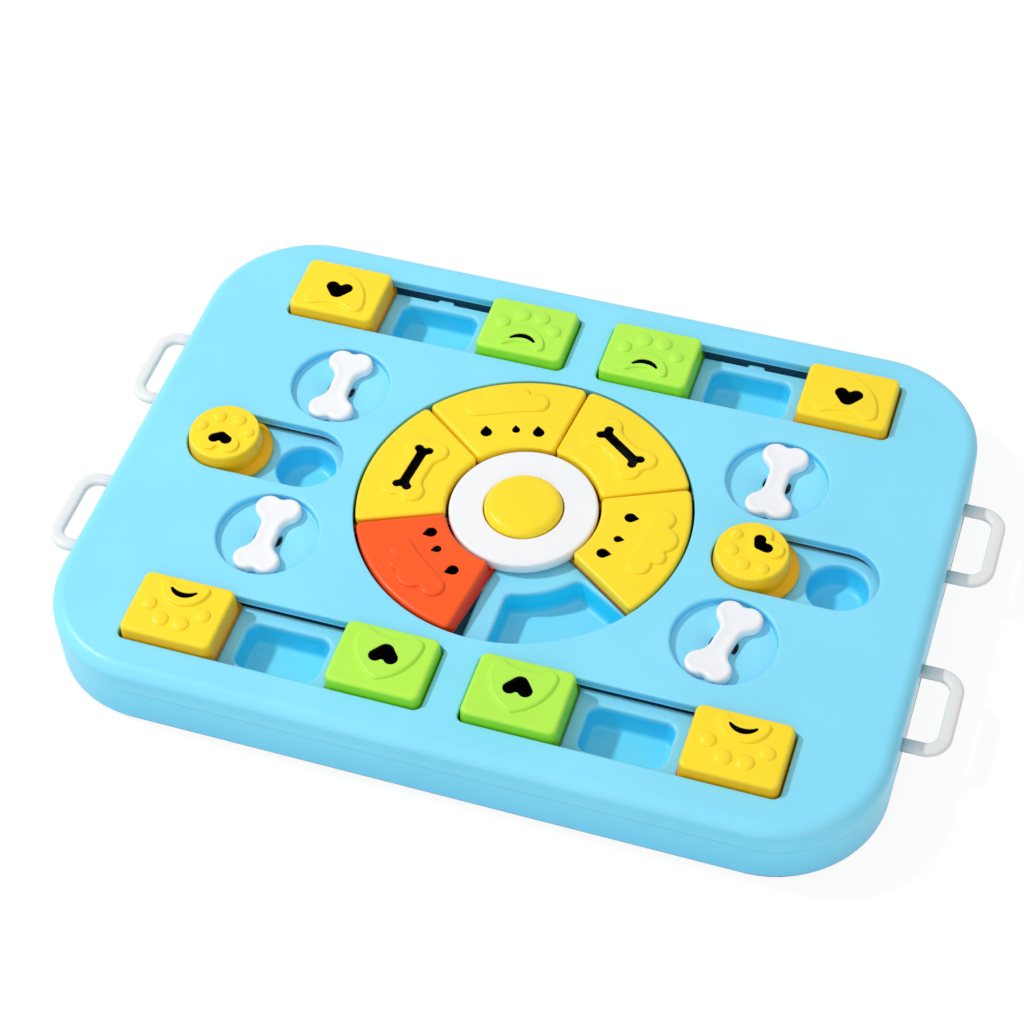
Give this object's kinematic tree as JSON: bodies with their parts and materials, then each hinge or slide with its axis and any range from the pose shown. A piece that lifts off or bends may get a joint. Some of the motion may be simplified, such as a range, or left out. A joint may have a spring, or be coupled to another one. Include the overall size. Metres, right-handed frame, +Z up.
{
  "type": "dog puzzle feeder toy",
  "caption": "Flat oblong treat puzzle for dogs with sliding and turning lids over wells, spinning bones, a squeaky push button and pull-out treat drawers.",
  "frame": {"origin": "on the floor under the middle of the tray", "axes": "+X to the tray's right with the handles at both ends, +Y to its back edge, +Z up"},
  "size_m": [0.469, 0.309, 0.0466],
  "materials": {
    "blue_plastic": "satin",
    "yellow_plastic": "satin",
    "green_plastic": "satin",
    "orange_plastic": "satin",
    "white_plastic": "satin",
    "white_rubber": "matte",
    "grey_rubber": "matte",
    "steel": "satin"
  },
  "bodies": {
    "tray": {"base_pan": "blue_plastic", "insert_back_left": "blue_plastic", "insert_back_right": "blue_plastic", "insert_front_left": "blue_plastic", "insert_front_right": "blue_plastic", "insert_oval_left": "blue_plastic", "insert_oval_right": "blue_plastic", "insert_wheel": "blue_plastic", "top_cover": "blue_plastic", "centre_ring": "white_plastic", "squeaker": "white_rubber", "bone_pivots": "white_plastic", "cover_screws": "steel", "insert_screws": "steel", "ring_screws": "steel", "rubber_feet": "grey_rubber"},
    "heart_lid_back_left": {"heart_lid_back_left": "yellow_plastic"},
    "paw_lid_back_left": {"paw_lid_back_left": "green_plastic"},
    "paw_lid_back_right": {"paw_lid_back_right": "green_plastic"},
    "heart_lid_back_right": {"heart_lid_back_right": "yellow_plastic"},
    "paw_lid_front_left": {"paw_lid_front_left": "yellow_plastic"},
    "heart_lid_front_left": {"heart_lid_front_left": "green_plastic"},
    "heart_lid_front_right": {"heart_lid_front_right": "green_plastic"},
    "paw_lid_front_right": {"paw_lid_front_right": "yellow_plastic"},
    "round_lid_left": {"round_lid_left": "yellow_plastic"},
    "round_lid_right": {"round_lid_right": "yellow_plastic"},
    "wheel_lid_left": {"wheel_lid_left": "yellow_plastic"},
    "wheel_lid_back": {"wheel_lid_back": "yellow_plastic"},
    "wheel_lid_back_right": {"wheel_lid_back_right": "yellow_plastic"},
    "wheel_lid_right": {"wheel_lid_right": "yellow_plastic"},
    "wheel_lid_orange": {"wheel_lid_orange": "orange_plastic"},
    "bone_back_left": {"bone_back_left": "white_plastic"},
    "bone_back_right": {"bone_back_right": "white_plastic"},
    "bone_front_left": {"bone_front_left": "white_plastic"},
    "bone_front_right": {"bone_front_right": "white_plastic"},
    "drawer_back_left": {"drawer_back_left": "white_plastic"},
    "drawer_back_right": {"drawer_back_right": "white_plastic"},
    "drawer_front_left": {"drawer_front_left": "white_plastic"},
    "drawer_front_right": {"drawer_front_right": "white_plastic"},
    "push_button": {"push_button": "yellow_plastic"}
  },
  "joints": [
    {"name": "heart_lid_back_left_slide", "type": "slide", "parent": "tray", "child": "heart_lid_back_left", "axis": [1, 0, 0], "range_m": [0, 0.0559]},
    {"name": "paw_lid_back_left_slide", "type": "slide", "parent": "tray", "child": "paw_lid_back_left", "axis": [1, 0, 0], "range_m": [-0.0559, 0]},
    {"name": "paw_lid_back_right_slide", "type": "slide", "parent": "tray", "child": "paw_lid_back_right", "axis": [1, 0, 0], "range_m": [0, 0.0559]},
    {"name": "heart_lid_back_right_slide", "type": "slide", "parent": "tray", "child": "heart_lid_back_right", "axis": [1, 0, 0], "range_m": [-0.0559, 0]},
    {"name": "paw_lid_front_left_slide", "type": "slide", "parent": "tray", "child": "paw_lid_front_left", "axis": [1, 0, 0], "range_m": [0, 0.0559]},
    {"name": "heart_lid_front_left_slide", "type": "slide", "parent": "tray", "child": "heart_lid_front_left", "axis": [1, 0, 0], "range_m": [-0.0559, 0]},
    {"name": "heart_lid_front_right_slide", "type": "slide", "parent": "tray", "child": "heart_lid_front_right", "axis": [1, 0, 0], "range_m": [0, 0.0559]},
    {"name": "paw_lid_front_right_slide", "type": "slide", "parent": "tray", "child": "paw_lid_front_right", "axis": [1, 0, 0], "range_m": [-0.0559, 0]},
    {"name": "round_lid_left_slide", "type": "slide", "parent": "tray", "child": "round_lid_left", "axis": [1, 0, 0], "range_m": [0, 0.044]},
    {"name": "round_lid_right_slide", "type": "slide", "parent": "tray", "child": "round_lid_right", "axis": [1, 0, 0], "range_m": [0, 0.044]},
    {"name": "wheel_lid_left_turn", "type": "hinge", "parent": "tray", "child": "wheel_lid_left", "pos_m": [0, 0, 0.03], "axis": [0, 0, 1], "continuous": true},
    {"name": "wheel_lid_back_turn", "type": "hinge", "parent": "tray", "child": "wheel_lid_back", "pos_m": [0, 0, 0.03], "axis": [0, 0, 1], "continuous": true},
    {"name": "wheel_lid_back_right_turn", "type": "hinge", "parent": "tray", "child": "wheel_lid_back_right", "pos_m": [0, 0, 0.03], "axis": [0, 0, 1], "continuous": true},
    {"name": "wheel_lid_right_turn", "type": "hinge", "parent": "tray", "child": "wheel_lid_right", "pos_m": [0, 0, 0.03], "axis": [0, 0, 1], "continuous": true},
    {"name": "wheel_lid_orange_turn", "type": "hinge", "parent": "wheel_lid_left", "child": "wheel_lid_orange", "pos_m": [0, 0, 0.03], "axis": [0, 0, 1], "range_deg": [0, 58.5]},
    {"name": "bone_back_left_spin", "type": "hinge", "parent": "tray", "child": "bone_back_left", "pos_m": [-0.1185, 0.053, 0.036], "axis": [0, 0, 1], "continuous": true},
    {"name": "bone_back_right_spin", "type": "hinge", "parent": "tray", "child": "bone_back_right", "pos_m": [0.1185, 0.053, 0.036], "axis": [0, 0, 1], "continuous": true},
    {"name": "bone_front_left_spin", "type": "hinge", "parent": "tray", "child": "bone_front_left", "pos_m": [-0.1185, -0.053, 0.036], "axis": [0, 0, 1], "continuous": true},
    {"name": "bone_front_right_spin", "type": "hinge", "parent": "tray", "child": "bone_front_right", "pos_m": [0.1185, -0.053, 0.036], "axis": [0, 0, 1], "continuous": true},
    {"name": "drawer_back_left_slide", "type": "slide", "parent": "tray", "child": "drawer_back_left", "axis": [-1, 0, 0], "range_m": [0, 0.065]},
    {"name": "drawer_back_right_slide", "type": "slide", "parent": "tray", "child": "drawer_back_right", "axis": [1, 0, 0], "range_m": [0, 0.065]},
    {"name": "drawer_front_left_slide", "type": "slide", "parent": "tray", "child": "drawer_front_left", "axis": [-1, 0, 0], "range_m": [0, 0.065]},
    {"name": "drawer_front_right_slide", "type": "slide", "parent": "tray", "child": "drawer_front_right", "axis": [1, 0, 0], "range_m": [0, 0.065]},
    {"name": "button_press", "type": "slide", "parent": "tray", "child": "push_button", "axis": [0, 0, -1], "range_m": [0, 0.0025], "stiffness_N_per_m": 800}
  ],
  "couplings": [
    {"joint": "wheel_lid_back_turn", "follows": "wheel_lid_left_turn", "ratio": 1},
    {"joint": "wheel_lid_back_right_turn", "follows": "wheel_lid_left_turn", "ratio": 1},
    {"joint": "wheel_lid_right_turn", "follows": "wheel_lid_left_turn", "ratio": 1}
  ]
}
